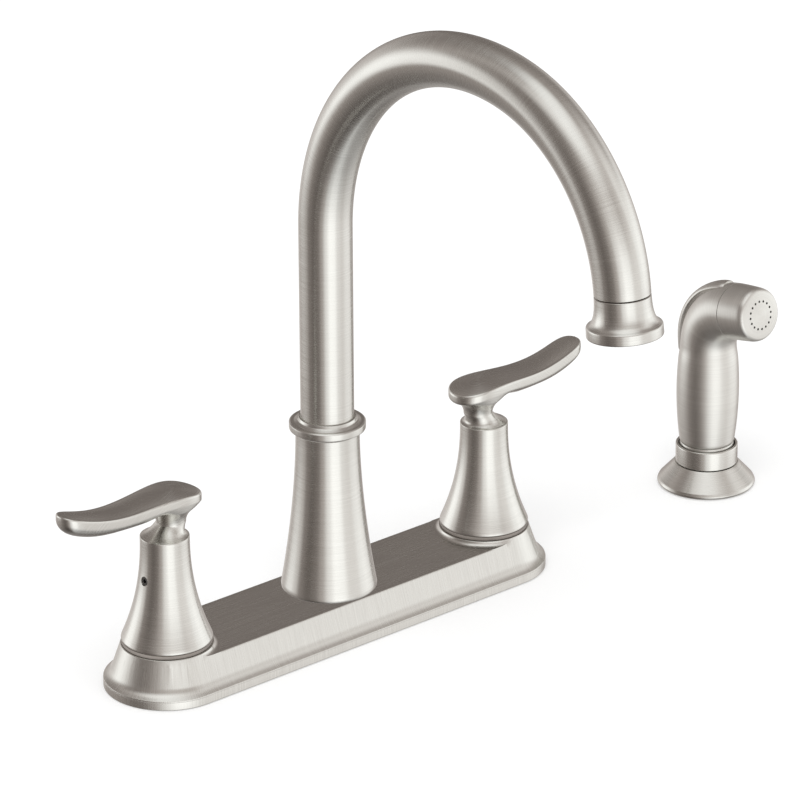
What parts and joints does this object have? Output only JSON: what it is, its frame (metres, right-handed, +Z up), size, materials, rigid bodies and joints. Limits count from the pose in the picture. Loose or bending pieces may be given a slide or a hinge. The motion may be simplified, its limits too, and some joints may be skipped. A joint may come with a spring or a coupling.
{
  "type": "kitchen faucet",
  "caption": "two-handle kitchen faucet with a high-arc swivel spout on an oblong deck plate, flared lever handles and a separate pull-out side spray in its holder",
  "frame": {"origin": "on the top of the sink deck, on the spout's axis and midway between the handles", "axes": "+Z up, +X from the hot handle to the cold handle and on to the side spray, -Y over the sink bowl towards the user"},
  "size_m": [0.4443, 0.2555, 0.3887],
  "materials": {
    "brushed_nickel": "warm grey brushed nickel plate, brushed round the turned parts and along the plate",
    "brass": "machined brass",
    "plated_steel": "plain stainless or zinc-plated steel",
    "black_rubber": "matt black rubber",
    "white_plastic": "white moulded acetal",
    "grey_plastic": "grey moulded plastic"
  },
  "bodies": {
    "fixed_assembly": {"deck_plate": "brushed_nickel", "deck_gasket": "black_rubber", "hot_bridge_tube": "brass", "cold_bridge_tube": "brass", "hot_valve_body": "brass", "hot_cartridge": "white_plastic", "hot_bonnet_nut": "brass", "hot_seat_ring": "grey_plastic", "hot_mounting_washer": "plated_steel", "hot_mounting_nut": "brass", "cold_valve_body": "brass", "cold_cartridge": "white_plastic", "cold_bonnet_nut": "brass", "cold_seat_ring": "grey_plastic", "cold_mounting_washer": "plated_steel", "cold_mounting_nut": "brass", "spout_skirt": "brushed_nickel", "spout_collar": "brushed_nickel", "spout_hub": "brass", "spout_seal_lower": "black_rubber", "spout_seal_upper": "black_rubber", "hub_nut": "brass", "spout_support_sleeve": "white_plastic", "spray_hose_nipple": "brass", "holder_flange": "brushed_nickel", "holder_gasket": "black_rubber", "holder_cup": "brushed_nickel", "holder_washer": "plated_steel", "holder_nut": "brass"},
    "hot_handle_set": {"hot_handle": "brushed_nickel", "hot_set_screw": "plated_steel", "hot_stem": "brass"},
    "cold_handle_set": {"cold_handle": "brushed_nickel", "cold_set_screw": "plated_steel", "cold_stem": "brass"},
    "swivel_spout": {"spout_tube": "brushed_nickel", "outlet_housing": "brushed_nickel", "outlet_adapter": "brass", "aerator_body": "white_plastic", "aerator_screen": "plated_steel"},
    "diverter_shuttle": {"diverter": "white_plastic"},
    "hose_end": {"hose_coupling": "brass"},
    "hand_spray": {"spray_body": "brushed_nickel", "nozzle_cap": "brushed_nickel", "nozzle_insert": "grey_plastic", "trigger_pin": "plated_steel", "valve_spring": "plated_steel"},
    "trigger_lever": {"trigger": "brushed_nickel"},
    "spray_valve": {"valve_plunger": "white_plastic"}
  },
  "joints": [
    {"name": "hot_handle_turn", "type": "hinge", "parent": "fixed_assembly", "child": "hot_handle_set", "pos_m": [-0.1016, 0, 0.06], "axis": [0, 0, 1], "range_deg": [0, 90]},
    {"name": "cold_handle_turn", "type": "hinge", "parent": "fixed_assembly", "child": "cold_handle_set", "pos_m": [0.1016, 0, 0.06], "axis": [0, 0, 1], "range_deg": [-90, 0]},
    {"name": "spout_swivel", "type": "hinge", "parent": "fixed_assembly", "child": "swivel_spout", "pos_m": [0, 0, 0.08], "axis": [0, 0, 1], "continuous": true},
    {"name": "diverter_lift", "type": "slide", "parent": "fixed_assembly", "child": "diverter_shuttle", "axis": [0, 0, 1], "range_m": [0, 0.003]},
    {"name": "spray_lift", "type": "slide", "parent": "fixed_assembly", "child": "hose_end", "axis": [0, 0, 1], "range_m": [0, 0.12]},
    {"name": "spray_turn", "type": "hinge", "parent": "hose_end", "child": "hand_spray", "pos_m": [0.2552, -0.0011, 0.02], "axis": [0, 0, 1], "continuous": true},
    {"name": "trigger_press", "type": "hinge", "parent": "hand_spray", "child": "trigger_lever", "pos_m": [0.2552, -0.01015, 0.10825], "axis": [-1, 0, 0], "range_deg": [0, 6], "stiffness_Nm_per_rad": 1, "springref_deg": -5.73},
    {"name": "valve_press", "type": "slide", "parent": "hand_spray", "child": "spray_valve", "axis": [0, 0, -1], "range_m": [0, 0.001], "deforming": ["valve_spring"]}
  ],
  "couplings": [
    {"joint": "valve_press", "follows": "trigger_press", "m_per_rad": 0.009}
  ]
}
